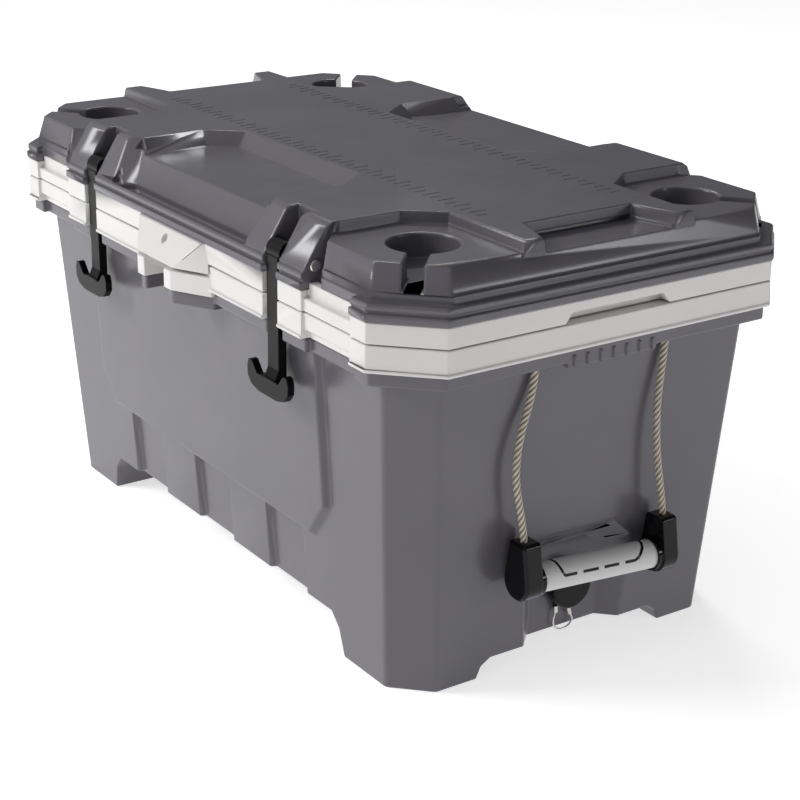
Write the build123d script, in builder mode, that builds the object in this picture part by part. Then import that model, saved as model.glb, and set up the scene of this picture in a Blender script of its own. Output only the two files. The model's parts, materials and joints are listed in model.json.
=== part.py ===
"""Hard-sided cooler: moulded tub and lid, two rubber latches, two rope handles and a drain.

Millimetres, +Z up. X runs along the length, the latches are on -Y, the hinges on +Y,
the drain is at the +X end. The pieces are drawn about the middle of the tub and written
with the origin on the ground under the middle of the whole object, nose and hinges included.
"""
from math import atan2, cos, degrees, pi, radians, sin, tan
import os

from build123d import *

os.makedirs("parts", exist_ok=True)

# ---------------------------------------------------------------- driving dimensions
RIM_HALF_LENGTH = 415.0
RIM_HALF_WIDTH = 250.0
RIM_CORNER = 54.0  # both legs of the 45 degree corner cuts

FOOT_HALF_LENGTH = 366.0  # body at the ground
FOOT_HALF_WIDTH = 203.0
FOOT_CORNER = 36.0
WALL_HALF_LENGTH = 388.0  # body just under its flange
WALL_HALF_WIDTH = 223.0
WALL_CORNER = 38.0

FLANGE_Z = 332.0  # underside of the body's flange
BODY_RIM_Z = 346.5  # body flange meets the liner's rim band
PARTING_Z = 373.0  # middle of the gap between body and lid
PARTING_HALF_GAP = 0.6
LID_BAND_TOP_Z = 394.0  # lid band meets the lid shell
LID_FLANGE_Z = 411.0
POD_BASE_Z = 419.0
POD_Z = 444.0
DECK_Z = 455.0
TRAY_Z = 440.0

BODY_FLANGE_INSET = 6.0
BAND_INSET = 1.5
LIP_HEIGHT = 3.5
WALL = 3.5  # plastic wall of the shells

SLOT_X = 195.0  # middle of each latch slot
SLOT_HALF = 13.8
SLOT_DEPTH_Y = 224.0
LID_SLOT_Y = 206.0
BLOCK_INNER_X = 143.0
BLOCK_OUTER_X = 252.0
RECESS_OUTER_X = 335.0

TUB_TOP = (345.0, 178.0, 30.0)  # half length, half width, corner of the inner tub
TUB_FLOOR = (325.0, 160.0, 24.0)
TUB_FLOOR_Z = 60.0
TUB_WALL = 3.0

NOSE_BLOCK_Z = 340.5
NOSE_BLOCK_TOP_Z = 361.0
NOSE_TIP_Z = 364.5
NOSE_HOLE_R = 4.5
NOSE_HOLE_Y = 253.0  # depth of its floor
NOSE_HOLE_Z = 384.5
RECESS_TOP_Z = 400.5
RIB_SPAN = 54.0

DRAIN_Z = 70.0
CAP_R = 24.0
POCKET_X = 350.0
BUSHING_R = 12.0

ROPE_R = 3.75
ROPE_EXIT_X = 392.5
ROPE_EXIT_Y = 80.0
ROPE_CRIMP_Z = 336.5
CRIMP_R = 6.0

HINGE_Y = 243.0
HINGE_Z = 383.0
HINGE_PIN_R = 3.0
HINGE_PIN_HALF = 32.0
HINGE_KNUCKLE_R = 9.0
HINGE_SCREW_Z = (341.0, 361.0)
SCREW_R = 2.2
SCREW_HEAD_R = 4.2
SCREW_BITE = 3.5
RUNNING_GAP = 0.06

CUP_X = 322.0
CUP_Y = 160.0
CUP_R = 34.0
CUP_SLOT = 20.0
CUP_SLOT_ANGLE = 42.4  # the slot leaves square to the corner's face

LATCH_PIN_Y = -233.0
LATCH_PIN_Z = 416.0
LATCH_PIN_R = 3.5
LATCH_PIN_IN_X = 165.0  # inner end of each pin

ORIGIN_SHIFT_Y = 10.0  # from the tub's middle to the middle between nose and hinges

SIDES = (-1, 1)
SIDE_NAMES = (("left", -1), ("right", 1))
CORNERS = [(sx, sy) for sx in SIDES for sy in SIDES]
CUPS = [(sx * CUP_X, sy * CUP_Y, degrees(atan2(sy, sx / tan(radians(CUP_SLOT_ANGLE))))) for sx, sy in CORNERS]
ROPE_HOLES = [(sx * ROPE_EXIT_X, sy * ROPE_EXIT_Y) for sx, sy in CORNERS]
RIM_BACK_Y = RIM_HALF_WIDTH + 10  # past the rim, for cuts that run out of it


# ---------------------------------------------------------------- drawing helpers
def octagon_points(half_length, half_width, corner):
    """Corner points of a rectangle with equal 45 degree cuts."""
    x, y, c = half_length, half_width, corner
    right = [(x, c - y), (x, y - c), (x - c, y)]
    return right + [(c - x, y), (-x, y - c), (-x, c - y), (c - x, -y), (x - c, -y)]


def octagon(half_length, half_width, corner, mode=Mode.ADD):
    Polygon(*octagon_points(half_length, half_width, corner), mode=mode)


def rim_octagon(inset):
    """The rim outline, moved in by the same amount on all eight sides."""
    corner = RIM_CORNER - inset * (2 - 2 ** 0.5)
    octagon(RIM_HALF_LENGTH - inset, RIM_HALF_WIDTH - inset, corner)


def mirrored_outline(quadrant):
    """Closed outline from its points in the first quadrant, listed from the Y side round to the X side."""
    right = quadrant + [(x, -y) for x, y in reversed(quadrant)]
    left = [(-x, y) for x, y in reversed(right)]
    return right + left


def slot_centres(depth_y, outer_y):
    """Middles of the four rim slots, latches in front and hinges behind."""
    middle = (depth_y + outer_y) / 2
    return [(sx * SLOT_X, sy * middle) for sx, sy in CORNERS]


def recess_centres(inner_y, outer_y):
    """Middles of the four shallow recesses between the latch blocks and the corners."""
    x = (BLOCK_OUTER_X + RECESS_OUTER_X) / 2
    y = (inner_y + outer_y) / 2
    return [(sx * x, sy * y) for sx, sy in CORNERS]


def finish(builder, name):
    """Label a finished piece, move it to the object's own origin and write it."""
    piece = builder.part.moved(Location((0, ORIGIN_SHIFT_Y, 0)))
    piece.label = name
    export_step(piece, f"parts/{name}.step")


# ---------------------------------------------------------------- hollow of the body, filled with foam
CAVITY_TOP = (384.5, 219.5, 36.0)
CAVITY_LOW = (363.0, 199.5, 33.0)
CAVITY_TOP_Z = 368.5
MIDDLE_FLOOR_Z = 48.0
END_FLOOR_Z = 24.0
FOOT_FLOOR_Z = 4.0
END_FLOOR_X = 260.0
FOOT_INNER_Y = 122.0

with BuildPart() as body_cavity:
    with BuildSketch(Plane.XY.offset(MIDDLE_FLOOR_Z)):
        octagon(*CAVITY_LOW)
    with BuildSketch(Plane.XY.offset(FLANGE_Z)):
        octagon(*CAVITY_TOP)
    loft(ruled=True)
    with BuildSketch(Plane.XY.offset(FLANGE_Z)):
        octagon(*CAVITY_TOP)
    extrude(amount=CAVITY_TOP_Z - FLANGE_Z)
    with BuildSketch(Plane.XY.offset(END_FLOOR_Z)):
        octagon(361.0, 198.0, 33.0)
        Rectangle(2 * END_FLOOR_X, 2 * RIM_HALF_WIDTH, mode=Mode.SUBTRACT)
    extrude(amount=MIDDLE_FLOOR_Z - END_FLOOR_Z)
    with BuildSketch(Plane.XY.offset(FOOT_FLOOR_Z)):
        octagon(361.0, 198.0, 33.0)
        Rectangle(2 * END_FLOOR_X, 2 * RIM_HALF_WIDTH, mode=Mode.SUBTRACT)
        Rectangle(2 * RIM_HALF_LENGTH, 2 * FOOT_INNER_Y, mode=Mode.SUBTRACT)
    extrude(amount=END_FLOOR_Z - FOOT_FLOOR_Z)
    # room for the drain pocket in the +X end
    with BuildSketch(Plane.YZ.offset(POCKET_X - 4)):
        Polygon((50, 0), (50, 108), (30, 123), (-30, 123), (-50, 108), (-50, 0))
    with BuildSketch(Plane.YZ.offset(POCKET_X + 38)):
        Polygon((96, 0), (96, 128), (62, 158), (-62, 158), (-96, 128), (-96, 0))
    loft(ruled=True, mode=Mode.SUBTRACT)
    # room for the shallow grooves low on the front and the back
    with BuildSketch(Plane.XY.offset(MIDDLE_FLOOR_Z)):
        with Locations(*[(x, sy * 202) for x in (-154, 0, 154) for sy in SIDES]):
            Rectangle(90, 24)
    extrude(amount=80, mode=Mode.SUBTRACT)

# ---------------------------------------------------------------- body shell
PANEL_HALF = 248.0
PANEL_LOW = 122.0
PANEL_PROUD = 7.0
GROOVE_DEPTH = 6.0
GROOVES = ((-191, -115), (-39, 39), (115, 191))
WALL_TILT = degrees(atan2(WALL_HALF_WIDTH - FOOT_HALF_WIDTH, FLANGE_Z))


def long_wall_plane(side, lift=0.0):
    """Plane on the front (-1) or back (+1) wall, its Y up the wall, its Z out of it."""
    tilt = radians(WALL_TILT)
    normal = Vector(0, side * cos(tilt), -sin(tilt))
    origin = Vector(0, side * FOOT_HALF_WIDTH, 0) + normal * lift
    return Plane(origin=origin, x_dir=(-side, 0, 0), z_dir=normal)


with BuildPart() as body_shell:
    with BuildSketch(Plane.XY):
        octagon(FOOT_HALF_LENGTH, FOOT_HALF_WIDTH, FOOT_CORNER)
    with BuildSketch(Plane.XY.offset(FLANGE_Z)):
        octagon(WALL_HALF_LENGTH, WALL_HALF_WIDTH, WALL_CORNER)
    loft(ruled=True)
    # the eight upright corner edges are rounded
    fillet(body_shell.edges().filter_by(lambda e: abs(e.tangent_at(0.5).Z) > 0.9), 9)
    # raised panel on each long wall
    for side in SIDES:
        with BuildSketch(long_wall_plane(side, -1)):
            Polygon((-PANEL_HALF, FLANGE_Z + 8), (-PANEL_HALF, 164), (-215, PANEL_LOW), (215, PANEL_LOW),
                    (PANEL_HALF, 164), (PANEL_HALF, FLANGE_Z + 8))
        extrude(amount=PANEL_PROUD + 1, taper=32)
    # shallow upright grooves under each panel
    for side in SIDES:
        for low, high in GROOVES:
            with BuildSketch(long_wall_plane(side, -GROOVE_DEPTH)):
                Polygon((low + 4, 20), (low + 4, PANEL_LOW - 3), (high - 4, PANEL_LOW - 3), (high - 4, 20))
            extrude(amount=GROOVE_DEPTH + 2, taper=-32, mode=Mode.SUBTRACT)
    # flange
    with BuildSketch(Plane.XY.offset(FLANGE_Z)):
        rim_octagon(BODY_FLANGE_INSET)
    extrude(amount=BODY_RIM_Z - FLANGE_Z)
    with BuildSketch(Plane.XY.offset(FLANGE_Z)):
        with Locations(*slot_centres(SLOT_DEPTH_Y, RIM_BACK_Y)):
            Rectangle(2 * SLOT_HALF, RIM_BACK_Y - SLOT_DEPTH_Y)
        with Locations(*recess_centres(238, RIM_BACK_Y)):
            Rectangle(RECESS_OUTER_X - BLOCK_OUTER_X, RIM_BACK_Y - 238)
    extrude(amount=BODY_RIM_Z - FLANGE_Z, mode=Mode.SUBTRACT)
    # two blocks under the nose, with a finger gap between them
    with BuildSketch(Plane.XY.offset(FLANGE_Z - 7)):
        for sx in SIDES:
            Polygon((sx * 24.5, -226), (sx * 24.5, -268.5), (sx * 34, -268.5), (sx * 76, -244),
                    (sx * 76, -226))
    extrude(amount=NOSE_BLOCK_Z - FLANGE_Z + 7)
    # thumb ribs under the flange at each end, between the ropes
    for sx in SIDES:
        with BuildSketch(Plane.XY.offset(FLANGE_Z - 5)):
            with Locations((sx * 400, 0)):
                Rectangle(18, 2 * RIB_SPAN)
        extrude(amount=8)
        with BuildSketch(Plane.XY.offset(FLANGE_Z - 3)):
            with Locations(*[(sx * 409.5, (i - 3) * RIB_SPAN / 3.4) for i in range(7)]):
                Rectangle(3, 2)
        extrude(amount=11)
    # raised underside between the corner feet
    with BuildSketch(Plane.XZ):
        Polygon((-257, -5), (-248, 30), (-236, 44), (236, 44), (248, 30), (257, -5))
    extrude(amount=RIM_HALF_WIDTH, both=True, mode=Mode.SUBTRACT)
    with BuildSketch(Plane.YZ):
        Polygon((-120, -5), (-113, 13), (-102, 20), (102, 20), (113, 13), (120, -5))
    extrude(amount=RIM_HALF_LENGTH, both=True, mode=Mode.SUBTRACT)
    # drain pocket
    with BuildSketch(Plane.YZ.offset(POCKET_X)):
        Polygon((-44, -20), (-44, 104), (-26, 118), (26, 118), (44, 104), (44, -20))
    with BuildSketch(Plane.YZ.offset(POCKET_X + 42)):
        Polygon((-86, -20), (-86, 124), (-55, 152), (55, 152), (86, 124), (86, -20))
    loft(ruled=True, mode=Mode.SUBTRACT)
    add(body_cavity.part, mode=Mode.SUBTRACT)
    # drain bore
    with BuildSketch(Plane.YZ.offset(POCKET_X - 5)):
        with Locations((0, DRAIN_Z)):
            Circle(BUSHING_R)
    extrude(amount=6, mode=Mode.SUBTRACT)
    # rope holes, with room above for the crimped ends
    with BuildSketch(Plane.XY.offset(FLANGE_Z - 1)):
        with Locations(*ROPE_HOLES):
            Circle(ROPE_R + 0.35)
    extrude(amount=8, mode=Mode.SUBTRACT)
    with BuildSketch(Plane.XY.offset(ROPE_CRIMP_Z)):
        with Locations(*ROPE_HOLES):
            Circle(CRIMP_R)
    extrude(amount=BODY_RIM_Z - ROPE_CRIMP_Z, mode=Mode.SUBTRACT)
    # screw holes behind the hinge brackets
    with BuildSketch(Plane.XZ.offset(-SLOT_DEPTH_Y)):
        with Locations(*[(x, HINGE_SCREW_Z[0]) for x in (-SLOT_X, SLOT_X)]):
            Circle(SCREW_R)
    extrude(amount=SCREW_BITE, mode=Mode.SUBTRACT)
finish(body_shell, "body_shell")

# ---------------------------------------------------------------- liner of the body: tub and light rim band
with BuildPart() as body_liner:
    with BuildSketch(Plane.XY.offset(BODY_RIM_Z)):
        rim_octagon(0)
    extrude(amount=LIP_HEIGHT)
    with BuildSketch(Plane.XY.offset(BODY_RIM_Z)):
        rim_octagon(BAND_INSET)
    extrude(amount=PARTING_Z - PARTING_HALF_GAP - BODY_RIM_Z)
    # blocks under the nose
    with BuildSketch(Plane.XY.offset(NOSE_BLOCK_Z)):
        for sx in SIDES:
            Polygon((sx * 21.5, -244), (sx * 21.5, -272), (sx * 36, -272), (sx * 80, -248.5), (sx * 80, -244))
    extrude(amount=NOSE_BLOCK_TOP_Z - NOSE_BLOCK_Z)
    # latch and hinge slots, and the shallow recesses beside them
    with BuildSketch(Plane.XY.offset(BODY_RIM_Z)):
        with Locations(*slot_centres(SLOT_DEPTH_Y, RIM_BACK_Y)):
            Rectangle(2 * SLOT_HALF, RIM_BACK_Y - SLOT_DEPTH_Y)
        with Locations(*recess_centres(245.5, RIM_BACK_Y)):
            Rectangle(RECESS_OUTER_X - BLOCK_OUTER_X, RIM_BACK_Y - 245.5)
    extrude(amount=40, mode=Mode.SUBTRACT)
    with BuildSketch(Plane.XY.offset(BODY_RIM_Z)):
        with Locations(*recess_centres(239.5, RIM_BACK_Y)):
            Rectangle(RECESS_OUTER_X - BLOCK_OUTER_X, RIM_BACK_Y - 239.5)
    extrude(amount=9.5, mode=Mode.SUBTRACT)
    # hollow under the rim
    with BuildSketch(Plane.XY.offset(BODY_RIM_Z - 1)):
        octagon(*CAVITY_TOP)
    extrude(amount=CAVITY_TOP_Z - BODY_RIM_Z + 1, mode=Mode.SUBTRACT)
    # tub
    with BuildSketch(Plane.XY.offset(TUB_FLOOR_Z - TUB_WALL)):
        octagon(TUB_FLOOR[0] + TUB_WALL, TUB_FLOOR[1] + TUB_WALL, TUB_FLOOR[2] + 1)
    with BuildSketch(Plane.XY.offset(CAVITY_TOP_Z + 1)):
        octagon(TUB_TOP[0] + TUB_WALL, TUB_TOP[1] + TUB_WALL, TUB_TOP[2] + 1)
    loft(ruled=True)
    with BuildSketch(Plane.XY.offset(TUB_FLOOR_Z)):
        octagon(*TUB_FLOOR)
    with BuildSketch(Plane.XY.offset(PARTING_Z + 1)):
        octagon(*TUB_TOP)
    loft(ruled=True, mode=Mode.SUBTRACT)
    fillet(body_liner.faces().filter_by(Axis.Z).sort_by_distance((0, 0, TUB_FLOOR_Z))[0].edges(), 12)
    # drain bore and hinge screw holes
    with BuildSketch(Plane.YZ.offset(TUB_FLOOR[0] - 4)):
        with Locations((0, DRAIN_Z)):
            Circle(BUSHING_R)
    extrude(amount=12, mode=Mode.SUBTRACT)
    with BuildSketch(Plane.XZ.offset(-SLOT_DEPTH_Y)):
        with Locations(*[(x, HINGE_SCREW_Z[1]) for x in (-SLOT_X, SLOT_X)]):
            Circle(SCREW_R)
    extrude(amount=SCREW_BITE, mode=Mode.SUBTRACT)
finish(body_liner, "body_liner")

# ---------------------------------------------------------------- foam between shell and liner
with BuildPart() as body_foam:
    add(body_cavity.part)
    with BuildSketch(Plane.XY.offset(TUB_FLOOR_Z - TUB_WALL)):
        octagon(TUB_FLOOR[0] + TUB_WALL, TUB_FLOOR[1] + TUB_WALL, TUB_FLOOR[2] + 1)
    with BuildSketch(Plane.XY.offset(CAVITY_TOP_Z + 1)):
        octagon(TUB_TOP[0] + TUB_WALL, TUB_TOP[1] + TUB_WALL, TUB_TOP[2] + 1)
    loft(ruled=True, mode=Mode.SUBTRACT)
    with BuildSketch(Plane.YZ.offset(TUB_FLOOR[0] - 4)):
        with Locations((0, DRAIN_Z)):
            Circle(BUSHING_R)
    extrude(amount=40, mode=Mode.SUBTRACT)
finish(body_foam, "body_foam")

# ---------------------------------------------------------------- hollow of the lid, filled with foam
LID_BASE_Z = PARTING_Z + PARTING_HALF_GAP
LID_FOAM_Z = LID_BASE_Z + WALL

with BuildPart() as lid_foam:
    with BuildSketch(Plane.XY.offset(LID_FOAM_Z)):
        octagon(385, 200, 40)
    extrude(amount=414 - LID_FOAM_Z)
    with BuildSketch(Plane.XY.offset(414)):
        octagon(385, 200, 45)
        for x, y, angle in CUPS:
            with Locations((x, y)):
                Circle(CUP_R + 4, mode=Mode.SUBTRACT)
                SlotCenterPoint((0, 0), (60 * cos(radians(angle)), 60 * sin(radians(angle))), CUP_SLOT + 8,
                                mode=Mode.SUBTRACT)
    extrude(amount=TRAY_Z - 5 - 414)
    with BuildSketch(Plane.XY.offset(TRAY_Z - 5)):
        Rectangle(2 * 335, 2 * 86)
    extrude(amount=DECK_Z - WALL - TRAY_Z + 5)
finish(lid_foam, "lid_foam")

# ---------------------------------------------------------------- liner of the lid: pan and light rim band
GASKET_TOP_Z = 376.0
GASKET_OUTER = (360.0, 193.0, 40.0)
GASKET_INNER = (352.0, 185.0, 36.0)
with BuildPart() as lid_liner:
    with BuildSketch(Plane.XY.offset(LID_BASE_Z)):
        rim_octagon(BAND_INSET)
    extrude(amount=LID_BAND_TOP_Z - LID_BASE_Z)
    chamfer(lid_liner.edges().filter_by(Axis.X).group_by(Axis.Z)[0].sort_by(Axis.Y)[-1], 3)
    # nose over the finger gap
    with BuildSketch(Plane.XY.offset(NOSE_TIP_Z)):
        Polygon((-38, -271), (38, -271), (79, -250), (-79, -250))
    with BuildSketch(Plane.XY.offset(LID_BAND_TOP_Z)):
        Polygon((-66, -253), (66, -253), (72, -246), (-72, -246))
    loft(ruled=True)
    # blind hole in the nose
    with BuildSketch(Plane.XZ.offset(NOSE_HOLE_Y)):
        with Locations((0, NOSE_HOLE_Z)):
            Circle(NOSE_HOLE_R)
    extrude(amount=20, mode=Mode.SUBTRACT)
    # latch and hinge slots, and the recesses
    with BuildSketch(Plane.XY.offset(LID_BASE_Z - 1)):
        with Locations(*slot_centres(SLOT_DEPTH_Y, RIM_BACK_Y)):
            Rectangle(2 * SLOT_HALF, RIM_BACK_Y - SLOT_DEPTH_Y)
        with Locations(*recess_centres(245.5, RIM_BACK_Y)):
            Rectangle(RECESS_OUTER_X - BLOCK_OUTER_X, RIM_BACK_Y - 245.5)
    extrude(amount=30, mode=Mode.SUBTRACT)
    with BuildSketch(Plane.XY.offset(386.5)):
        with Locations(*recess_centres(240, RIM_BACK_Y)):
            Rectangle(RECESS_OUTER_X - BLOCK_OUTER_X, RIM_BACK_Y - 240)
    extrude(amount=20, mode=Mode.SUBTRACT)
    with BuildSketch(Plane.XY.offset(LID_BAND_TOP_Z)):
        with Locations(*recess_centres(230, 240)):
            Rectangle(RECESS_OUTER_X - BLOCK_OUTER_X, 10)
    extrude(amount=RECESS_TOP_Z - LID_BAND_TOP_Z)
    add(lid_foam.part, mode=Mode.SUBTRACT)
    # groove for the gasket, bores for the hinge pins
    with BuildSketch(Plane.XY.offset(LID_BASE_Z)):
        octagon(*GASKET_OUTER)
        octagon(*GASKET_INNER, mode=Mode.SUBTRACT)
    extrude(amount=GASKET_TOP_Z - LID_BASE_Z, mode=Mode.SUBTRACT)
    for sx in SIDES:
        with BuildSketch(Plane.YZ.offset(sx * SLOT_X - HINGE_PIN_HALF)):
            with Locations((HINGE_Y, HINGE_Z)):
                Circle(HINGE_PIN_R)
        extrude(amount=2 * HINGE_PIN_HALF, mode=Mode.SUBTRACT)
    # notch for fingers at the +X end
    with BuildSketch(Plane.YZ.offset(RIM_HALF_LENGTH - 14)):
        Polygon((-64, LID_BASE_Z - 1), (-55, 384), (55, 384), (64, LID_BASE_Z - 1))
    extrude(amount=20, mode=Mode.SUBTRACT)
finish(lid_liner, "lid_liner")

# ---------------------------------------------------------------- gasket around the tub's mouth
with BuildPart() as lid_gasket:
    with BuildSketch(Plane.XY.offset(PARTING_Z)):
        octagon(*GASKET_OUTER)
        octagon(*GASKET_INNER, mode=Mode.SUBTRACT)
    extrude(amount=GASKET_TOP_Z - PARTING_Z)
finish(lid_gasket, "lid_gasket")

# ---------------------------------------------------------------- shell of the lid
DECK_EDGE = [(252, 207), (252, 138), (281, 101), (396, 101), (396, 80), (358, 67), (347, 67)]
SCOOP_EDGE = [(344, 63.5), (359, 63.5), (404, 78.5), (404, -78.5), (359, -63.5), (344, -63.5)]

FLANGE_BEADS = ((LID_BAND_TOP_Z, 402.0, 0.0), (402.0, 404.5, 3.2), (404.5, 409.5, 1.8))  # low, high, inset
FRONT_SLOPE = [(-215.5, DECK_Z), (-220.5, 452.5), (-245.5, 413.0)]  # blocks beside the latches
REAR_SLOPE = [(220.0, DECK_Z), (225.0, 452.0), (244.5, 413.0)]
TRAY_EDGE_Y = 206.0
TRAY_FOOT_Y = 228.0
TRAY_FOOT_HALF = 120.0
TRAY_FLARE = 14.0 / 13.0  # sideways run of a tray's end wall for each millimetre outwards


def tray_half(side, half, corner, side_y, inner_y):
    """Tray outline open towards the front (-1) or the back (+1), with its two inner corners cut."""
    x = half - corner
    Polygon((-half, side * RIM_BACK_Y), (-half, side * side_y), (-x, side * inner_y), (x, side * inner_y),
            (half, side * side_y), (half, side * RIM_BACK_Y))


def flared_front(side, half, near_y, far_y):
    """Outline from near_y out to far_y that widens towards the rim."""
    wide = half + (far_y - near_y) * TRAY_FLARE
    Polygon((-half, side * near_y), (half, side * near_y), (wide, side * far_y), (-wide, side * far_y))


with BuildPart() as lid_shell:
    # flange with two beads and a groove between them
    for low_z, high_z, inset in FLANGE_BEADS:
        with BuildSketch(Plane.XY.offset(low_z)):
            rim_octagon(inset)
        extrude(amount=high_z - low_z)
    with BuildSketch(Plane.XY.offset(FLANGE_BEADS[-1][1])):
        rim_octagon(FLANGE_BEADS[-1][2])
    with BuildSketch(Plane.XY.offset(LID_FLANGE_Z)):
        rim_octagon(FLANGE_BEADS[-1][2] + 1.5)
    loft(ruled=True)
    # shoulder, then the tapering walls of the corner pods
    with BuildSketch(Plane.XY.offset(LID_FLANGE_Z)):
        octagon(404, 238, 52)
    extrude(amount=POD_BASE_Z - LID_FLANGE_Z)
    with BuildSketch(Plane.XY.offset(POD_BASE_Z)):
        octagon(402.5, 236.5, 51)
    with BuildSketch(Plane.XY.offset(POD_Z)):
        octagon(396, 231, 47.5)
    loft(ruled=True)
    # the pods stop at the sloping blocks
    with BuildSketch(Plane.YZ.offset(-BLOCK_OUTER_X)):
        Polygon((-RIM_BACK_Y, LID_FLANGE_Z), *FRONT_SLOPE[::-1], (-RIM_BACK_Y, DECK_Z))
        Polygon((RIM_BACK_Y, LID_FLANGE_Z), *REAR_SLOPE[::-1], (RIM_BACK_Y, DECK_Z))
    extrude(amount=2 * BLOCK_OUTER_X, mode=Mode.SUBTRACT)
    # raised deck
    with BuildSketch(Plane.XY.offset(TRAY_Z)):
        Polygon(*mirrored_outline(DECK_EDGE))
        offset(amount=2.7, kind=Kind.INTERSECTION)
    extrude(amount=DECK_Z - TRAY_Z, taper=10)
    # sloping blocks beside the latches in front and above the hinges behind
    for sx in SIDES:
        with BuildSketch(Plane.YZ.offset(sx * BLOCK_INNER_X)):
            Polygon((-200, LID_BAND_TOP_Z), (-200, DECK_Z), *FRONT_SLOPE, (-245.5, LID_BAND_TOP_Z))
            Polygon((200, LID_BAND_TOP_Z), (200, DECK_Z), *REAR_SLOPE, (245.5, LID_BAND_TOP_Z))
        extrude(amount=sx * (BLOCK_OUTER_X - BLOCK_INNER_X))
    # trays between the blocks
    for sy, edge_y, foot_y in ((-1, TRAY_EDGE_Y, TRAY_FOOT_Y), (1, 219, 238)):
        for z, half, corner, outline in ((TRAY_Z, 128, 22, (137, 108)), (DECK_Z, 142, 29, (132, 95))):
            with BuildSketch(Plane.XY.offset(z)):
                tray_half(sy, half, corner, *outline)
        loft(ruled=True, mode=Mode.SUBTRACT)
        for z, half, y in ((LID_FLANGE_Z, TRAY_FOOT_HALF, foot_y), (DECK_Z, 142, edge_y)):
            with BuildSketch(Plane.XY.offset(z)):
                flared_front(sy, half, y, RIM_BACK_Y)
        loft(ruled=True, mode=Mode.SUBTRACT)
    # gutter along the front lip
    with BuildSketch(Plane.XY.offset(LID_FLANGE_Z - 7)):
        flared_front(-1, TRAY_FOOT_HALF, TRAY_FOOT_Y, 244)
    extrude(amount=7, mode=Mode.SUBTRACT)
    # scoops at the ends
    for sx in SIDES:
        with BuildSketch(Plane.XY.offset(TRAY_Z)):
            Polygon(*[(sx * x, y) for x, y in SCOOP_EDGE])
        extrude(amount=POD_Z - TRAY_Z + 0.5, taper=-10, mode=Mode.SUBTRACT)
    # cup holders open at the corners
    with BuildSketch(Plane.XY.offset(POD_BASE_Z)):
        for x, y, angle in CUPS:
            with Locations((x, y)):
                Circle(CUP_R)
            with Locations(Location((x, y), angle)):
                Rectangle(120, CUP_SLOT, align=(Align.MIN, Align.CENTER))
    extrude(amount=DECK_Z - POD_BASE_Z, mode=Mode.SUBTRACT)
    # recesses beside the corners
    with BuildSketch(Plane.XY.offset(LID_BAND_TOP_Z)):
        with Locations(*recess_centres(239.5, RIM_BACK_Y)):
            Rectangle(RECESS_OUTER_X - BLOCK_OUTER_X, RIM_BACK_Y - 239.5)
    extrude(amount=POD_BASE_Z - LID_BAND_TOP_Z, mode=Mode.SUBTRACT)
    with BuildSketch(Plane.XY.offset(LID_BAND_TOP_Z)):
        with Locations(*recess_centres(230, RIM_BACK_Y)):
            Rectangle(RECESS_OUTER_X - BLOCK_OUTER_X, RIM_BACK_Y - 230)
    extrude(amount=RECESS_TOP_Z - LID_BAND_TOP_Z, mode=Mode.SUBTRACT)
    # cut beside each block, where the heads of the latch pins sit
    for sx, sy in CORNERS:
        for z, inner_y, outer_x, outer_y in ((RECESS_TOP_Z, 219.5, 273, 240), (POD_Z, 212.5, 271, 231)):
            with BuildSketch(Plane.XY.offset(z)):
                Polygon((sx * BLOCK_OUTER_X, sy * inner_y), (sx * outer_x, sy * outer_y),
                        (sx * 273, sy * RIM_BACK_Y), (sx * BLOCK_OUTER_X, sy * RIM_BACK_Y))
        loft(ruled=True, mode=Mode.SUBTRACT)
    # latch slots
    with BuildSketch(Plane.XY.offset(LID_BAND_TOP_Z)):
        with Locations(*slot_centres(LID_SLOT_Y, RIM_BACK_Y)[::2]):
            Rectangle(2 * SLOT_HALF, RIM_BACK_Y - LID_SLOT_Y)
    extrude(amount=DECK_Z - LID_BAND_TOP_Z, mode=Mode.SUBTRACT)
    add(lid_foam.part, mode=Mode.SUBTRACT)
    # bores for the latch pins
    for sx in SIDES:
        with BuildSketch(Plane.YZ.offset(sx * LATCH_PIN_IN_X)):
            with Locations((LATCH_PIN_Y, LATCH_PIN_Z)):
                Circle(LATCH_PIN_R)
        extrude(amount=sx * (BLOCK_OUTER_X - LATCH_PIN_IN_X), mode=Mode.SUBTRACT)
finish(lid_shell, "lid_shell")

# ---------------------------------------------------------------- hinges
PLATE_Y = SLOT_DEPTH_Y + 4.0
PLATE_TOP_Z = 371.0


def hinge_bracket(x):
    """Bracket screwed into a rear slot, with a knuckle for the lid's pin."""
    with BuildPart() as bracket:
        with BuildSketch(Plane.YZ.offset(x - SLOT_HALF + 0.8)):
            Polygon((SLOT_DEPTH_Y, 334), (PLATE_Y, 334), (PLATE_Y, 350), (252, 378), (236, 388),
                    (PLATE_Y, PLATE_TOP_Z), (SLOT_DEPTH_Y, PLATE_TOP_Z))
            with Locations((HINGE_Y, HINGE_Z)):
                Circle(HINGE_KNUCKLE_R)
                Circle(HINGE_PIN_R + RUNNING_GAP, mode=Mode.SUBTRACT)
        extrude(amount=2 * SLOT_HALF - 1.6)
        with BuildSketch(Plane.XZ.offset(-SLOT_DEPTH_Y)):
            with Locations(*[(x, z) for z in HINGE_SCREW_Z]):
                Circle(SCREW_R)
        extrude(amount=-40, mode=Mode.SUBTRACT)
        with BuildSketch(Plane.XZ.offset(-PLATE_Y)):
            with Locations(*[(x, z) for z in HINGE_SCREW_Z]):
                Circle(SCREW_HEAD_R + 0.5)
        extrude(amount=-40, mode=Mode.SUBTRACT)
    return bracket


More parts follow.
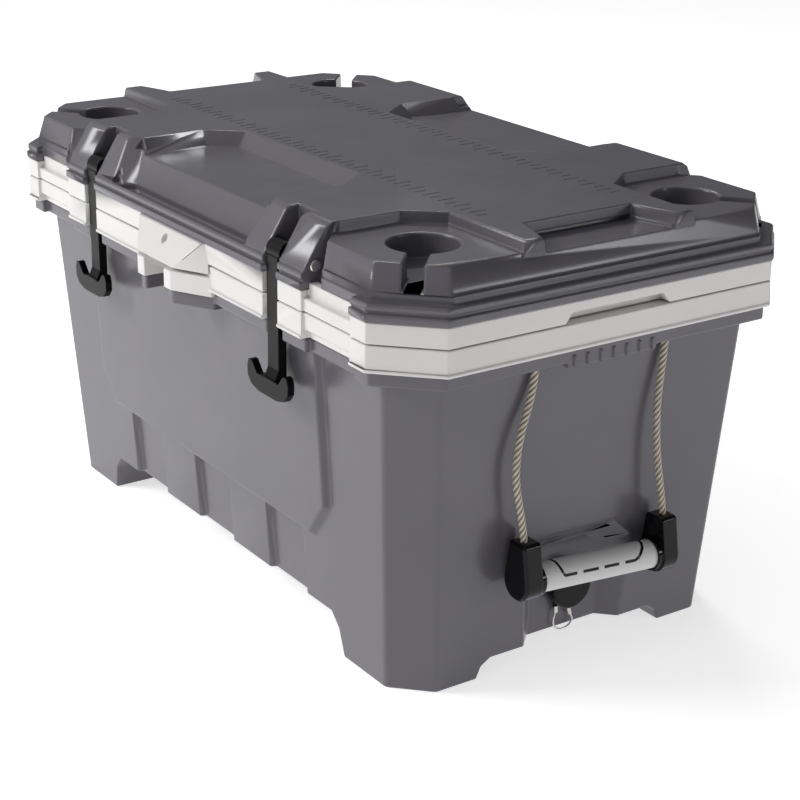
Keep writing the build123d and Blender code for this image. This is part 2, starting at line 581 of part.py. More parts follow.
def pin_along_x(x_start, x_end, y, z, radius, head_r, head):
    """Straight pin from x_start to x_end, with a low domed head beyond x_end."""
    out = 1 if x_end > x_start else -1
    with BuildPart() as pin:
        with BuildSketch(Plane.YZ.offset(x_start)):
            with Locations((y, z)):
                Circle(radius)
        extrude(amount=x_end - x_start)
        with BuildSketch(Plane.YZ.offset(x_end)):
            with Locations((y, z)):
                Circle(head_r)
        extrude(amount=out * head)
        chamfer(pin.edges().filter_by(GeomType.CIRCLE).sort_by(Axis.X)[-1 if out > 0 else 0], head * 0.4)
    return pin


for side, sx in SIDE_NAMES:
    finish(hinge_bracket(sx * SLOT_X), f"hinge_bracket_{side}")
    pin_start = sx * SLOT_X - sx * HINGE_PIN_HALF
    pin_end = sx * SLOT_X + sx * HINGE_PIN_HALF
    with BuildPart() as hinge_pin:
        with BuildSketch(Plane.YZ.offset(pin_start)):
            with Locations((HINGE_Y, HINGE_Z)):
                Circle(HINGE_PIN_R)
        extrude(amount=pin_end - pin_start)
    finish(hinge_pin, f"hinge_pin_{side}")

with BuildPart() as hinge_screws:
    with BuildSketch(Plane.XZ.offset(-SLOT_DEPTH_Y)):
        with Locations(*[(sx * SLOT_X, z) for sx in SIDES for z in HINGE_SCREW_Z]):
            Circle(SCREW_R)
    extrude(amount=SCREW_BITE)
    extrude(hinge_screws.faces().sort_by(Axis.Y)[-4:], amount=PLATE_Y - SLOT_DEPTH_Y)
    with BuildSketch(Plane.XZ.offset(-PLATE_Y)):
        with Locations(*[(sx * SLOT_X, z) for sx in SIDES for z in HINGE_SCREW_Z]):
            Circle(SCREW_HEAD_R)
    extrude(amount=-2)
finish(hinge_screws, "hinge_screws")

# ---------------------------------------------------------------- rubber latches and their pins
KNUCKLE_R = 12.0
STRAP_INNER_Y = -236.5
STRAP_OUTER_Y = -245.5
STRAP_HALF = 10.0
STRAP_END_Z = 277.0
GRIP_INNER_Y = -245.2
GRIP_OUTER_Y = -252.5
T_HALF_OUTLINE = [(10, 291), (20, 290), (25, 296), (30, 301.5), (36, 301), (38.5, 294), (38, 284), (31, 276),
                  (17, 272.5)]


def latch(x):
    """Rubber T latch hanging from its pin in the front slot."""
    with BuildPart() as part:
        # barrel and strap
        with BuildSketch(Plane.YZ.offset(x - SLOT_HALF + 1.3)):
            with Locations((LATCH_PIN_Y, LATCH_PIN_Z)):
                Circle(KNUCKLE_R)
        extrude(amount=2 * SLOT_HALF - 2.6)
        with BuildSketch(Plane.YZ.offset(x - STRAP_HALF)):
            Polygon((STRAP_INNER_Y, LATCH_PIN_Z), (STRAP_INNER_Y, STRAP_END_Z),
                    (GRIP_OUTER_Y + 2, STRAP_END_Z), (GRIP_OUTER_Y + 2, 288), (STRAP_OUTER_Y, 300),
                    (STRAP_OUTER_Y, LATCH_PIN_Z - 3))
        extrude(amount=2 * STRAP_HALF)
        # T grip with upturned ends
        with BuildSketch(Plane.XZ.offset(-GRIP_INNER_Y)) as tee:
            Polygon(*[(x + dx, z) for dx, z in T_HALF_OUTLINE],
                    *[(x - dx, z) for dx, z in T_HALF_OUTLINE[::-1]])
            fillet(tee.vertices(), 2.2)
        extrude(amount=GRIP_INNER_Y - GRIP_OUTER_Y)
        # bore for the pin
        with BuildSketch(Plane.YZ.offset(x)):
            with Locations((LATCH_PIN_Y, LATCH_PIN_Z)):
                Circle(LATCH_PIN_R + RUNNING_GAP)
        extrude(amount=SLOT_HALF, both=True, mode=Mode.SUBTRACT)
    return part


for side, sx in SIDE_NAMES:
    finish(latch(sx * SLOT_X), f"latch_{side}")
    finish(pin_along_x(sx * LATCH_PIN_IN_X, sx * BLOCK_OUTER_X, LATCH_PIN_Y, LATCH_PIN_Z, LATCH_PIN_R, 6, 2.5),
           f"latch_pin_{side}")

# ---------------------------------------------------------------- drain
BORE_R = 8.5
FLANGE_R = 22.0
NECK_R = 15.0
GASKET_X = POCKET_X + 1.2
NECK_FOOT_X = GASKET_X + 2.0
NECK_END_X = 362.0
COLLAR_X = NECK_FOOT_X + 0.5
CAP_X = 355.6
CAP_END_X = 367.5


def ring_x(x, thickness, outer_r, inner_r):
    """Flat ring around the drain's axis."""
    with BuildPart() as ring:
        with BuildSketch(Plane.YZ.offset(x)):
            with Locations((0, DRAIN_Z)):
                Circle(outer_r)
                Circle(inner_r, mode=Mode.SUBTRACT)
        extrude(amount=thickness)
    return ring


with BuildPart() as drain_bushing:
    for x, end_x, radius in ((TUB_FLOOR[0] + 0.7, GASKET_X, BUSHING_R), (GASKET_X, NECK_FOOT_X, FLANGE_R),
                             (NECK_FOOT_X, NECK_END_X, NECK_R)):
        with BuildSketch(Plane.YZ.offset(x)):
            with Locations((0, DRAIN_Z)):
                Circle(radius)
        extrude(amount=end_x - x)
    with BuildSketch(Plane.YZ.offset(TUB_FLOOR[0] - 5)):
        with Locations((0, DRAIN_Z)):
            Circle(BORE_R)
    extrude(amount=50, mode=Mode.SUBTRACT)
finish(drain_bushing, "drain_bushing")
finish(ring_x(POCKET_X, GASKET_X - POCKET_X, FLANGE_R - 1, BUSHING_R), "drain_gasket")

with BuildPart() as drain_cap:
    with BuildSketch(Plane.YZ.offset(CAP_X)):
        with Locations((0, DRAIN_Z)):
            Circle(CAP_R)
    extrude(amount=CAP_END_X - CAP_X)
    fillet(drain_cap.edges().filter_by(GeomType.CIRCLE).sort_by(Axis.X)[-1], 3)
    with BuildSketch(Plane.YZ.offset(CAP_X)):
        with Locations((0, DRAIN_Z)):
            Circle(NECK_R + 0.5)
    extrude(amount=NECK_END_X + 0.5 - CAP_X, mode=Mode.SUBTRACT)
finish(drain_cap, "drain_cap")

FERRULE_TOPS = ((-11.5, 47.0), (4.5, 43.0))
FERRULE_ENDS = ((-11.3, 40.0), (7.5, 33.5))
FERRULE_R = 2.4
TETHER_X = 354.6


def rod(start, end, radius):
    """Straight round bar between two points."""
    with BuildPart() as bar:
        with BuildSketch(Plane(origin=start, z_dir=Vector(*end) - Vector(*start))):
            Circle(radius)
        extrude(amount=(Vector(*end) - Vector(*start)).length)
    return bar


with BuildPart() as tether_ferrules:
    for top, end in zip(FERRULE_TOPS, FERRULE_ENDS):
        add(rod((TETHER_X, *top), (TETHER_X, *end), FERRULE_R).part)
finish(tether_ferrules, "tether_ferrules")

with BuildPart() as tether_collar:
    with BuildSketch(Plane.YZ.offset(COLLAR_X)):
        with Locations((0, DRAIN_Z)):
            Circle(NECK_R + 4)
        Polygon((-15, 60), (-15, 46), (-8, 46), (1.5, 41.5), (8.5, 41.5), (12, 60))
        with Locations((0, DRAIN_Z)):
            Circle(NECK_R + 0.5, mode=Mode.SUBTRACT)
    extrude(amount=CAP_X - 0.6 - COLLAR_X)
    add(tether_ferrules.part, mode=Mode.SUBTRACT)
finish(tether_collar, "tether_collar")


def tube_along(points, radius, name):
    """Round cord or wire: straight runs joined by arcs as large as the runs allow."""
    corners = [Vector(*p) for p in points]
    runs = [b - a for a, b in zip(corners, corners[1:])]
    arcs = []
    for before, after in zip(runs, runs[1:]):
        half_turn = radians(before.get_angle(after)) / 2
        arcs.append(0.45 * min(before.length, after.length) / tan(half_turn))
    print(name, "arc radii", [round(arc) for arc in arcs])
    with BuildPart() as tube:
        with BuildLine() as route:
            FilletPolyline(*corners, radius=arcs)
        with BuildSketch(Plane(origin=corners[0], z_dir=runs[0])):
            Circle(radius)
        sweep()
    length = sum(edge.length for edge in route.edges())
    section = pi * radius ** 2
    print(name, "length", round(length, 1), "volume over section", round(tube.part.volume / section, 1))
    return tube


TETHER_ROUTE = [(-11.3, 40), (-13.8, 33), (-13.5, 25), (-8, 19.5), (0, 18), (8, 20.5), (11.8, 27),
                (7.5, 33.5)]
with BuildPart() as tether_loop:
    add(tube_along([(TETHER_X, y, z) for y, z in TETHER_ROUTE], 0.9, "tether_loop").part)
    add(tether_ferrules.part, mode=Mode.SUBTRACT)
finish(tether_loop, "tether_loop")

# ---------------------------------------------------------------- rope handles
PIVOT_Z = 326.0
GRIP_X = 396.0
GRIP_R = 15.0
GRIP_HALF = 74.0
GRIP_MIDDLE_Z = 106.0
GRIP_FALL = -14.0 / 180.0  # the grip hangs a little lower towards +Y
ROPE_ROUTE = [
    (392.5, -80, 326), (393.3, -85.5, 297), (394.6, -98, 262), (395.6, -102, 224), (396, -95, 190),
    (396, -88.5, 158), (396, -89, 138), (396, -83, 120), (396, -67, 111.2), (396, -36, 108.3),
    (396, 0, 105.4), (396, 36, 103.7), (396, 67, 100.8), (396, 83, 107.5), (396, 89, 124), (396, 88, 146),
    (395.8, 81, 182), (395, 74.5, 222), (393.8, 73.5, 262), (392.8, 77, 297), (392.5, 80, 326)]
STUB_Z = 331.0
CAP_INNER_Y = 72.0
CAP_RING_Y = 78.0
CAP_OUTER_Y = 98.0


def grip_z(y):
    return GRIP_MIDDLE_Z + GRIP_FALL * y


def rope(side, sx):
    """Rope of one handle, with a round end at each pivot."""
    tube = tube_along([(sx * x, y, z) for x, y, z in ROPE_ROUTE], ROPE_R, f"rope_{side}")
    with BuildPart() as whole:
        add(tube.part)
        with Locations(*[(sx * ROPE_EXIT_X, sy * ROPE_EXIT_Y, PIVOT_Z) for sy in SIDES]):
            Sphere(ROPE_R)
    return whole


def rope_ends(sx):
    """Short stubs of rope in the flange, crimped above it."""
    crimp_z = ROPE_CRIMP_Z + 0.2
    with BuildPart() as ends:
        for z, top_z, radius in ((STUB_Z, crimp_z, ROPE_R), (crimp_z, BODY_RIM_Z - 1, CRIMP_R - 0.4)):
            with BuildSketch(Plane.XY.offset(z)):
                with Locations(*[(sx * ROPE_EXIT_X, sy * ROPE_EXIT_Y) for sy in SIDES]):
                    Circle(radius)
            extrude(amount=top_z - z)
    return ends


def grip_cap(sx, sy, rope_part, grip_part):
    """Moulded cap that turns the rope from the grip up towards the flange."""
    z = grip_z(sy * 88)
    x = sx * GRIP_X
    with BuildPart() as cap:
        with BuildSketch(Plane.XZ.offset(-sy * CAP_RING_Y)):
            with Locations((x, z)):
                Circle(19)
            with Locations((x - 9, z + 38), (x + 9, z + 38)):
                Circle(4)
            make_hull()
        extrude(amount=-sy * (CAP_OUTER_Y - CAP_RING_Y))
        chamfer(cap.faces().sort_by(Axis.Y)[-1 if sy > 0 else 0].edges(), 2.5)
        with BuildSketch(Plane.XZ.offset(-sy * CAP_INNER_Y)):
            with Locations((x, grip_z(sy * 75))):
                Circle(17.5)
        extrude(amount=-sy * (CAP_RING_Y - CAP_INNER_Y))
        add(rope_part, mode=Mode.SUBTRACT)
        add(grip_part, mode=Mode.SUBTRACT)
    return cap


for side, sx in SIDE_NAMES:
    rope_whole = rope(side, sx)
    finish(rope_whole, f"rope_{side}")
    finish(rope_ends(sx), f"rope_ends_{side}")
    grip_ends = [(sx * GRIP_X, sy * GRIP_HALF, grip_z(sy * GRIP_HALF)) for sy in SIDES]
    with BuildPart() as grip:
        add(rod(*grip_ends, GRIP_R).part)
        chamfer(grip.edges().filter_by(GeomType.CIRCLE), 1)
        add(rope_whole.part, mode=Mode.SUBTRACT)
    finish(grip, f"grip_{side}")
    for end, sy in (("front", -1), ("rear", 1)):
        finish(grip_cap(sx, sy, rope_whole.part, grip.part), f"cap_{side}_{end}")
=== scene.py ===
"""Looks of the hard-sided cooler: plastics, rubber, twisted rope and studio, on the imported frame."""
import json
import math

import bmesh
import bpy
from mathutils import Matrix, Vector


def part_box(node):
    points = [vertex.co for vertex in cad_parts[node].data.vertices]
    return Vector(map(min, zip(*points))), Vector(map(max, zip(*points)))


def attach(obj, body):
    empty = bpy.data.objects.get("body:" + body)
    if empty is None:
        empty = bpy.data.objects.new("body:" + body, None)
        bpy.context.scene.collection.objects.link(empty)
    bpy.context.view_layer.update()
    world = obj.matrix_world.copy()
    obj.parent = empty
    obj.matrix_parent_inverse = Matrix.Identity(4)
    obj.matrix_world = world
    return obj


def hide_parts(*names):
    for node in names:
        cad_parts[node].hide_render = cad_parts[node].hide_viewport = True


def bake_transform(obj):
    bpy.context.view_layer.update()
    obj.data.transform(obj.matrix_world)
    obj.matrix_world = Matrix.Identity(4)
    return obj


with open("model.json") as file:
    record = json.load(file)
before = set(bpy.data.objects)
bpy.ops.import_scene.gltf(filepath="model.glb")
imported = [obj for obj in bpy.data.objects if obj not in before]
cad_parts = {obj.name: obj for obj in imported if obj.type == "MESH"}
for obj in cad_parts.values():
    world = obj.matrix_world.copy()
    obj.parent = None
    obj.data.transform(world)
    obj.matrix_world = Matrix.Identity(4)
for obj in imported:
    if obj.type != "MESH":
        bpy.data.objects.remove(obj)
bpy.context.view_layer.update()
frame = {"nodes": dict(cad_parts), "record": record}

TUB_Y = 0.010  # the tub's middle, from the object's origin

CAMERA_AT = (1.6824, -1.1191 + TUB_Y, 0.9254)
CAMERA_AZIMUTH = 55.49
CAMERA_ELEVATION = 20.89
CAMERA_ROLL = 0.71
CAMERA_LENS = 85.2
SENSOR = 36.0

ROPE_RADIUS = 0.00375
ROPE_STRANDS = 4
ROPE_LAY = 0.026  # length of one full turn of a strand
ROPE_SIDES = 40
ROPE_STEP = 0.0012
YARN_PITCH = 0.0021
ROPE_ROUTE = [  # front to rear, y from the tub's middle
    (0.3925, -0.080, 0.334), (0.3926, -0.0805, 0.321), (0.3933, -0.0855, 0.297), (0.3946, -0.098, 0.262),
    (0.3956, -0.102, 0.224), (0.396, -0.095, 0.190), (0.396, -0.0885, 0.158), (0.396, -0.089, 0.138),
    (0.396, -0.083, 0.120), (0.396, -0.067, 0.1112), (0.396, -0.036, 0.1083), (0.396, 0.0, 0.1054),
    (0.396, 0.036, 0.1037), (0.396, 0.067, 0.1008), (0.396, 0.083, 0.1075), (0.396, 0.089, 0.124),
    (0.396, 0.088, 0.146), (0.3958, 0.081, 0.182), (0.395, 0.0745, 0.222), (0.3938, 0.0735, 0.262),
    (0.3928, 0.077, 0.297), (0.3926, 0.0795, 0.321), (0.3925, 0.080, 0.334)]

SHARP_ANGLE = 22.0  # edges sharper than this, in degrees, are rounded
FLAT_ANGLE = 0.6
WELD_DISTANCE = 0.00002
BEVEL_SEGMENTS = 3
ROOM_NEEDED = 2.4  # length of the edges beside a rounded one, in widths of the rounding
IN_LINE = 0.93  # cosine above which two edges count as one run

TICK_COUNT = 49
TICK_PITCH = 0.0127
TICK_START = 0.088
TICK_SHORT = 0.013
TICK_LONG = 0.021
TICK_HALF = 0.0013
TICK_HEIGHT = 0.0004
TICK_TOP_WIDTH = 0.4  # share of the foot that is left at the top
TICK_TOP_LENGTH = 0.96

GRIP_X = 0.396
GRIP_Z = 0.106
GRIP_R = 0.015
GRIP_FALL = -14.0 / 180.0
STRIPE_HALF = 0.0014
STRIPE_PROUD = 0.00025
STRIPE_STEP = 0.0012
STRIPE_SECTION = ((-1, -STRIPE_PROUD), (-1, STRIPE_PROUD), (1, STRIPE_PROUD), (1, -STRIPE_PROUD))
STRIPES = (  # y from the grip's middle, angle round it from its outer side
    ((-0.048, 15), (-0.033, 15)), ((-0.025, 15), (-0.0055, 15)), ((0.002, 15), (0.021, 15)),
    ((0.029, 15), (0.042, 15), (0.0475, 24), (0.0515, 40), (0.0555, 58), (0.0585, 80),
     (0.060, 100), (0.061, 119), (0.0585, 138), (0.0515, 158), (0.042, 168), (0.029, 168)),
    ((-0.048, 15), (-0.0505, 30), (-0.0525, 60), (-0.0538, 119),
     (-0.052, 145), (-0.046, 168), (-0.033, 168)),
    ((-0.025, 168), (-0.0055, 168)), ((0.002, 168), (0.021, 168)),
)

SIDES = (("left", -1), ("right", 1))

ROOM_BRIGHT_SIDE = (-0.45, -0.65, 0.61)
ROOM_LEVELS = ((0.0, 0.10), (0.35, 0.24), (0.85, 0.66))  # how far towards the bright side, brightness
FLOOR_GLOW = 0.62
LIGHTS = (  # name, place, target, size, power
    ("key", (-1.7, -3.0, 2.5), (0, 0, 0.35), (1.5, 1.2), 78),
    ("side", (3.0, 1.9, 0.95), (0.4, 0, 0.43), (0.8, 0.35), 12),
    ("rim", (-1.7, 1.1, 2.3), (0, 0, 0.4), (0.9, 0.3), 16),
)


# ---------------------------------------------------------------- camera, light and floor
def add_camera():
    azimuth, elevation, roll = (math.radians(a) for a in (CAMERA_AZIMUTH, CAMERA_ELEVATION, CAMERA_ROLL))
    back = Vector((math.sin(azimuth) * math.cos(elevation), -math.cos(azimuth) * math.cos(elevation),
                   math.sin(elevation)))
    right = Vector((0, 0, 1)).cross(back).normalized()
    up = back.cross(right)
    turned_right = math.cos(roll) * right + math.sin(roll) * up
    turned_up = -math.sin(roll) * right + math.cos(roll) * up
    data = bpy.data.cameras.new("camera")
    data.lens = CAMERA_LENS
    data.sensor_width = SENSOR
    camera = bpy.data.objects.new("camera", data)
    facing = Matrix((turned_right, turned_up, back)).transposed().to_4x4()
    camera.matrix_world = Matrix.Translation(CAMERA_AT) @ facing
    bpy.context.collection.objects.link(camera)
    bpy.context.scene.camera = camera


def add_area_light(name, place, target, size, power):
    data = bpy.data.lights.new(name, "AREA")
    data.shape = "RECTANGLE"
    data.size, data.size_y = size
    data.energy = power
    light = bpy.data.objects.new(name, data)
    light.location = place
    light.rotation_euler = (Vector(target) - Vector(place)).to_track_quat("-Z", "Y").to_euler()
    bpy.context.collection.objects.link(light)


def add_world():
    """White to the camera; to all else a soft room, brighter towards the front, the left and the top."""
    world = bpy.data.worlds.new("studio")
    world.use_nodes = True
    nodes, links = world.node_tree.nodes, world.node_tree.links
    room = nodes["Background"]
    place = nodes.new("ShaderNodeTexCoord")
    towards = nodes.new("ShaderNodeVectorMath")
    towards.operation = "DOT_PRODUCT"
    towards.inputs[1].default_value = ROOM_BRIGHT_SIDE
    links.new(place.outputs["Generated"], towards.inputs[0])
    ramp = nodes.new("ShaderNodeValToRGB")
    ramp.color_ramp.elements.new(0.5)
    for element, (share, level) in zip(ramp.color_ramp.elements, ROOM_LEVELS):
        element.position = share
        element.color = (level, level, level, 1)
    links.new(towards.outputs["Value"], ramp.inputs["Fac"])
    links.new(ramp.outputs["Color"], room.inputs["Color"])
    paper = nodes.new("ShaderNodeBackground")
    paper.inputs["Color"].default_value = (1, 1, 1, 1)
    rays = nodes.new("ShaderNodeLightPath")
    choose = nodes.new("ShaderNodeMixShader")
    links.new(rays.outputs["Is Camera Ray"], choose.inputs["Fac"])
    links.new(room.outputs["Background"], choose.inputs[1])
    links.new(paper.outputs["Background"], choose.inputs[2])
    links.new(choose.outputs["Shader"], nodes["World Output"].inputs["Surface"])
    bpy.context.scene.world = world
    bpy.context.scene.view_settings.view_transform = "Standard"


def add_studio():
    add_world()
    for name, place, target, size, power in LIGHTS:
        add_area_light(name, place, target, size, power)
    mesh = bpy.data.meshes.new("floor")
    mesh.from_pydata([(-30, -30, 0), (30, -30, 0), (30, 30, 0), (-30, 30, 0)], [], [(0, 1, 2, 3)])
    floor = bpy.data.objects.new("floor", mesh)
    paper = plain_material("floor", (0.85, 0.85, 0.85), 0.6)
    shader = paper.node_tree.nodes["Principled BSDF"]
    shader.inputs["Emission Color"].default_value = (1, 1, 1, 1)
    shader.inputs["Emission Strength"].default_value = FLOOR_GLOW
    floor.data.materials.append(paper)
    bpy.context.collection.objects.link(floor)


# ---------------------------------------------------------------- materials
def plain_material(name, colour, roughness, specular=0.5):
    material = bpy.data.materials.new(name)
    material.use_nodes = True
    shader = material.node_tree.nodes["Principled BSDF"]
    shader.inputs["Base Color"].default_value = (*colour, 1)
    shader.inputs["Roughness"].default_value = roughness
    shader.inputs["Specular IOR Level"].default_value = specular
    return material


def moulded(name, colour, roughness, grain_scale, grain_depth, tint=0.06, metallic=0.0, specular=0.5,
            soften=0.0):
    """Moulded or metal surface: cloudy tint, uneven gloss, fine grain and, with soften, soft-looking edges."""
    material = plain_material(name, colour, roughness, specular)
    nodes, links = material.node_tree.nodes, material.node_tree.links
    shader = nodes["Principled BSDF"]
    shader.inputs["Metallic"].default_value = metallic
    place = nodes.new("ShaderNodeTexCoord")
    clouds = nodes.new("ShaderNodeTexNoise")
    clouds.inputs["Scale"].default_value = 9.0
    clouds.inputs["Detail"].default_value = 4.0
    links.new(place.outputs["Object"], clouds.inputs["Vector"])
    colours = nodes.new("ShaderNodeValToRGB")
    colours.color_ramp.elements[0].position = 0.3
    colours.color_ramp.elements[1].position = 0.7
    colours.color_ramp.elements[0].color = (*[c * (1 - tint) for c in colour], 1)
    colours.color_ramp.elements[1].color = (*[min(1, c * (1 + tint)) for c in colour], 1)
    links.new(clouds.outputs["Fac"], colours.inputs["Fac"])
    links.new(colours.outputs["Color"], shader.inputs["Base Color"])
    gloss = nodes.new("ShaderNodeMapRange")
    gloss.inputs["To Min"].default_value = roughness * 0.85
    gloss.inputs["To Max"].default_value = roughness * 1.15
    links.new(clouds.outputs["Fac"], gloss.inputs["Value"])
    links.new(gloss.outputs["Result"], shader.inputs["Roughness"])
    grain = nodes.new("ShaderNodeTexNoise")
    grain.inputs["Scale"].default_value = grain_scale
    grain.inputs["Detail"].default_value = 2.0
    links.new(place.outputs["Object"], grain.inputs["Vector"])
    bump = nodes.new("ShaderNodeBump")
    bump.inputs["Strength"].default_value = 0.35
    bump.inputs["Distance"].default_value = grain_depth
    links.new(grain.outputs["Fac"], bump.inputs["Height"])
    if soften:
        edge = nodes.new("ShaderNodeBevel")
        edge.samples = 6
        edge.inputs["Radius"].default_value = soften
        links.new(edge.outputs["Normal"], bump.inputs["Normal"])
    links.new(bump.outputs["Normal"], shader.inputs["Normal"])
    return material


def rope_material():
    """Twisted cord: light and tan yarns, darkened by painted shade in the grooves between strands, worked out
    from each vertex's place round the rope.
    """
    material = plain_material("rope", (0.45, 0.40, 0.33), 0.6)
    nodes, links = material.node_tree.nodes, material.node_tree.links
    shader = nodes["Principled BSDF"]
    yarn_and_groove_shade = nodes.new("ShaderNodeAttribute")
    yarn_and_groove_shade.attribute_name = "yarn_and_groove_shade"
    colours = nodes.new("ShaderNodeValToRGB")
    # the darkest colour, at low values, is painted shade for the grooves between strands
    colours.color_ramp.elements[0].position = 0.15
    colours.color_ramp.elements[0].color = (0.07, 0.05, 0.03, 1)
    colours.color_ramp.elements[1].position = 0.85
    colours.color_ramp.elements[1].color = (0.62, 0.58, 0.52, 1)
    middle = colours.color_ramp.elements.new(0.5)
    middle.color = (0.34, 0.28, 0.20, 1)
    links.new(yarn_and_groove_shade.outputs["Fac"], colours.inputs["Fac"])
    links.new(colours.outputs["Color"], shader.inputs["Base Color"])
    return material


DARK = (0.110, 0.104, 0.122)
MATERIALS = {
    "dark_plastic": moulded("dark_plastic", DARK, 0.24, 900, 0.00012, soften=0.003),
    "dark_detail": moulded("dark_detail", DARK, 0.26, 900, 0.00012),
    "light_plastic": moulded("light_plastic", (0.68, 0.67, 0.66), 0.36, 900, 0.0001, tint=0.02,
                             soften=0.0018),
    "black_plastic": moulded("black_plastic", (0.004, 0.004, 0.005), 0.11, 700, 0.00005, specular=0.2,
                             soften=0.0018),
    "grip_plastic": moulded("grip_plastic", (0.60, 0.59, 0.59), 0.5, 1200, 0.00012, tint=0.03),
    "foam": moulded("foam", (0.75, 0.70, 0.52), 0.9, 260, 0.001),
    "rubber": moulded("rubber", (0.003, 0.003, 0.0034), 0.3, 800, 0.0001, specular=0.12, soften=0.0016),
    "steel": moulded("steel", (0.62, 0.61, 0.58), 0.25, 500, 0.00005, tint=0.04, metallic=1.0),
    "rope": rope_material(),
}

ROUNDED = (  # node, body, slot, radius of its edges
    ("lid_shell", "lid", "dark_plastic", 0.002),
    ("lid_liner", "lid", "light_plastic", 0.0012),
    ("body_liner", "body", "light_plastic", 0.0012),
    ("body_shell", "body", "dark_plastic", 0.002),
)


def dress_nodes():
    for part in frame["record"]["subparts"]:
        obj = frame["nodes"][part["node"]]
        obj.data.materials.clear()
        obj.data.materials.append(MATERIALS[part["material_slot"]])


# ---------------------------------------------------------------- rounded mouldings
def has_room(edge, width):
    """Whether the faces beside an edge leave room to round it by the width."""
    along = (edge.verts[1].co - edge.verts[0].co).normalized()
    for loop in edge.link_loops:
        for near in (loop.link_loop_prev, loop.link_loop_next):
            beside = near.edge.verts[1].co - near.edge.verts[0].co
            if beside.length < ROOM_NEEDED * width and abs(along.dot(beside.normalized())) < IN_LINE:
                return False
    return True


def rounded(node, body, slot, width):
    """Copy of a moulded node with its edges rounded, shown in its place."""
    mesh = frame["nodes"][node].data.copy()
    mesh.name = node + "_rounded"
    work = bmesh.new()
    work.from_mesh(mesh)
    bmesh.ops.remove_doubles(work, verts=work.verts, dist=WELD_DISTANCE)
    bmesh.ops.dissolve_limit(work, angle_limit=math.radians(FLAT_ANGLE), verts=work.verts, edges=work.edges)
    weight = work.edges.layers.float.new("bevel_weight_edge")
    for edge in work.edges:
        if len(edge.link_faces) == 2 and edge.calc_face_angle() > math.radians(SHARP_ANGLE):
            roomy = has_room(edge, width)
            edge[weight] = float(roomy)
            edge.smooth = roomy
    for face in work.faces:
        face.smooth = True
    work.to_mesh(mesh)
    work.free()
    mesh.materials.clear()
    mesh.materials.append(MATERIALS[slot])
    piece = bpy.data.objects.new(node + "_rounded", mesh)
    bpy.context.collection.objects.link(piece)
    bevel = piece.modifiers.new("round", "BEVEL")
    bevel.width = width
    bevel.segments = BEVEL_SEGMENTS
    bevel.limit_method = "WEIGHT"
    bevel.use_clamp_overlap = False
    shade = piece.modifiers.new("shade", "WEIGHTED_NORMAL")
    shade.mode = "FACE_AREA"
    shade.weight = 50
    shade.keep_sharp = True
    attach(piece, body)
    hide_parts(node)


def add_piece(name, work, material, body):
    """Mesh piece on a body, in its material."""
    bmesh.ops.recalc_face_normals(work, faces=work.faces)
    mesh = bpy.data.meshes.new(name)
    work.to_mesh(mesh)
    work.free()
    mesh.materials.append(MATERIALS[material])
    piece = bpy.data.objects.new(name, mesh)
    bpy.context.collection.objects.link(piece)
    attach(piece, body)


# ---------------------------------------------------------------- raised ticks on the lid
def add_ticks():
    """Two rows of low raised ticks along the deck, every other one longer."""
    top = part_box("lid_shell")[1][2]
    work = bmesh.new()
    for side in (-1, 1):
        for i in range(TICK_COUNT):
            x = (i - (TICK_COUNT - 1) / 2) * TICK_PITCH
            length = TICK_LONG if i % 2 else TICK_SHORT
            near, far = sorted((TUB_Y + side * TICK_START, TUB_Y + side * (TICK_START - length)))
            foot = [(x - TICK_HALF, near), (x + TICK_HALF, near), (x + TICK_HALF, far), (x - TICK_HALF, far)]
            middle = (near + far) / 2
            crown = [(x + (u - x) * TICK_TOP_WIDTH, middle + (v - middle) * TICK_TOP_LENGTH) for u, v in foot]
            low = [work.verts.new((*place, top - TICK_HEIGHT)) for place in foot]
            high = [work.verts.new((*place, top + TICK_HEIGHT)) for place in crown]
            work.faces.new(high)
            for a in range(4):
                work.faces.new((low[a], low[(a + 1) % 4], high[(a + 1) % 4], high[a]))
    add_piece("deck_ticks", work, "dark_detail", "lid")


# ---------------------------------------------------------------- stripes on the grips
def path_steps(points, step):
    """The same path with points no further apart than the step."""
    line = [points[0]]
    for a, b in zip(points, points[1:]):
        count = max(1, math.ceil(math.dist(a, b) / step))
        line += [tuple(u + (v - u) * i / count for u, v in zip(a, b)) for i in range(1, count + 1)]
    return line


def add_stripes():
    """Thin black inlays round each grip: a broken line along it, and a curved line at each end."""
    for side, sx in SIDES:
        work = bmesh.new()
        for path in STRIPES:
            line = path_steps([(y, GRIP_R * math.radians(angle)) for y, angle in path], STRIPE_STEP)
            rows = []
            for i, (y, around) in enumerate(line):
                before, after = line[max(i - 1, 0)], line[min(i + 1, len(line) - 1)]
                run = Vector((after[0] - before[0], after[1] - before[1])).normalized()
                aside = Vector((-run.y, run.x)) * STRIPE_HALF
                row = []
                for share, lift in STRIPE_SECTION:
                    place = on_grip(sx, y + share * aside.x, around + share * aside.y, lift)
                    row.append(work.verts.new(place))
                rows.append(row)
            for a, b in zip(rows, rows[1:]):
                for k in range(3):
                    work.faces.new((a[k], a[k + 1], b[k + 1], b[k]))
            work.faces.new(rows[0][::-1])
            work.faces.new(rows[-1])
        add_piece(f"grip_stripes_{side}", work, "black_plastic", f"handle_{side}")


def on_grip(sx, y, around, lift):
    """Point at the grip's surface: y from its middle, way round it from its outer side, lift off it."""
    angle = around / GRIP_R
    tilt = Vector((0, 1, GRIP_FALL)).normalized()
    upright = Vector((0, -GRIP_FALL, 1)).normalized()
    out = math.cos(angle) * Vector((sx, 0, 0)) + math.sin(angle) * upright
    return Vector((sx * GRIP_X, TUB_Y, GRIP_Z)) + y * tilt + (GRIP_R + lift) * out


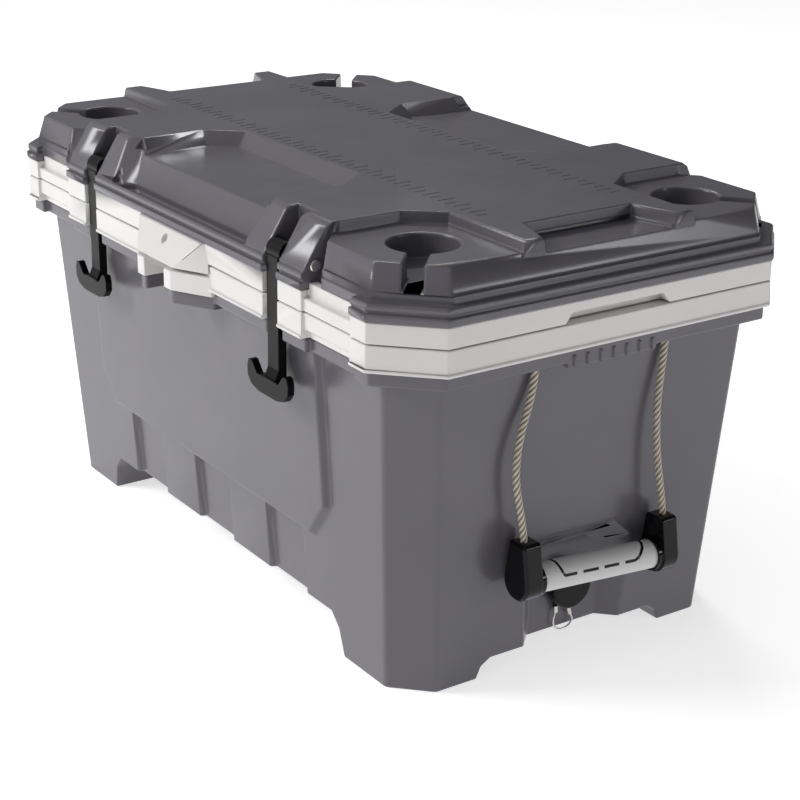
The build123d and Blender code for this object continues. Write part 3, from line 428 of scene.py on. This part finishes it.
# ---------------------------------------------------------------- ropes
def route_line(route, name):
    """Points along the smooth line of a route."""
    curve = bpy.data.curves.new(name, "CURVE")
    curve.dimensions = "3D"
    curve.resolution_u = 24
    spline = curve.splines.new("NURBS")
    spline.points.add(len(route) - 1)
    for point, place in zip(spline.points, route):
        point.co = (*place, 1)
    spline.order_u = 3
    spline.use_endpoint_u = True
    holder = bpy.data.objects.new(name, curve)
    mesh = bpy.data.meshes.new_from_object(holder)
    points = [v.co.copy() for v in mesh.vertices]
    bpy.data.meshes.remove(mesh)
    bpy.data.objects.remove(holder)
    bpy.data.curves.remove(curve)
    return points


def twisted_rope(name, points):
    """Round rope of twisted strands that follows the points."""
    line = [points[0]]
    for a, b in zip(points, points[1:]):
        count = max(1, round((b - a).length / ROPE_STEP))
        line += [a.lerp(b, i / count) for i in range(1, count + 1)]
    work = bmesh.new()
    yarn_and_groove_shade = work.verts.layers.float.new("yarn_and_groove_shade")
    side = Vector((1, 0, 0))
    travelled = 0.0
    rings = []
    for i, place in enumerate(line):
        ahead = line[min(i + 1, len(line) - 1)] - line[max(i - 1, 0)]
        heading = ahead.normalized()
        side = (side - heading * side.dot(heading)).normalized()
        other = heading.cross(side)
        if i:
            travelled += (place - line[i - 1]).length
        ring = []
        for k in range(ROPE_SIDES):
            around = 2 * math.pi * k / ROPE_SIDES
            phase = ROPE_STRANDS * (around - 2 * math.pi * travelled / ROPE_LAY)
            crown = abs(math.cos(phase / 2))
            out = ROPE_RADIUS * (0.84 + 0.16 * crown)
            vert = work.verts.new(place + out * (math.cos(around) * side + math.sin(around) * other))
            fine = 0.5 + 0.5 * math.cos(2 * math.pi * travelled / YARN_PITCH + 9 * around)
            # fine yarn stripes, mixed with the strand's crown so that the grooves between strands get painted
            # shade
            vert[yarn_and_groove_shade] = 0.25 * fine + 0.75 * crown ** 1.5
            ring.append(vert)
        rings.append(ring)
    for a, b in zip(rings, rings[1:]):
        for k in range(ROPE_SIDES):
            face = work.faces.new((a[k], a[(k + 1) % ROPE_SIDES], b[(k + 1) % ROPE_SIDES], b[k]))
            face.smooth = True
    work.faces.new(rings[0][::-1])
    work.faces.new(rings[-1])
    mesh = bpy.data.meshes.new(name)
    work.to_mesh(mesh)
    work.free()
    mesh.materials.append(MATERIALS["rope"])
    rope = bpy.data.objects.new(name, mesh)
    bpy.context.collection.objects.link(rope)
    return rope


def add_ropes():
    for side, sx in SIDES:
        route = [(sx * x, y + TUB_Y, z) for x, y, z in ROPE_ROUTE]
        points = route_line(route, f"route_{side}")
        rope = twisted_rope(f"twisted_rope_{side}", points)
        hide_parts(f"rope_{side}")
        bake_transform(rope)


add_camera()
add_studio()
dress_nodes()
for node, body, slot, width in ROUNDED:
    rounded(node, body, slot, width)
add_ticks()
add_stripes()
add_ropes()
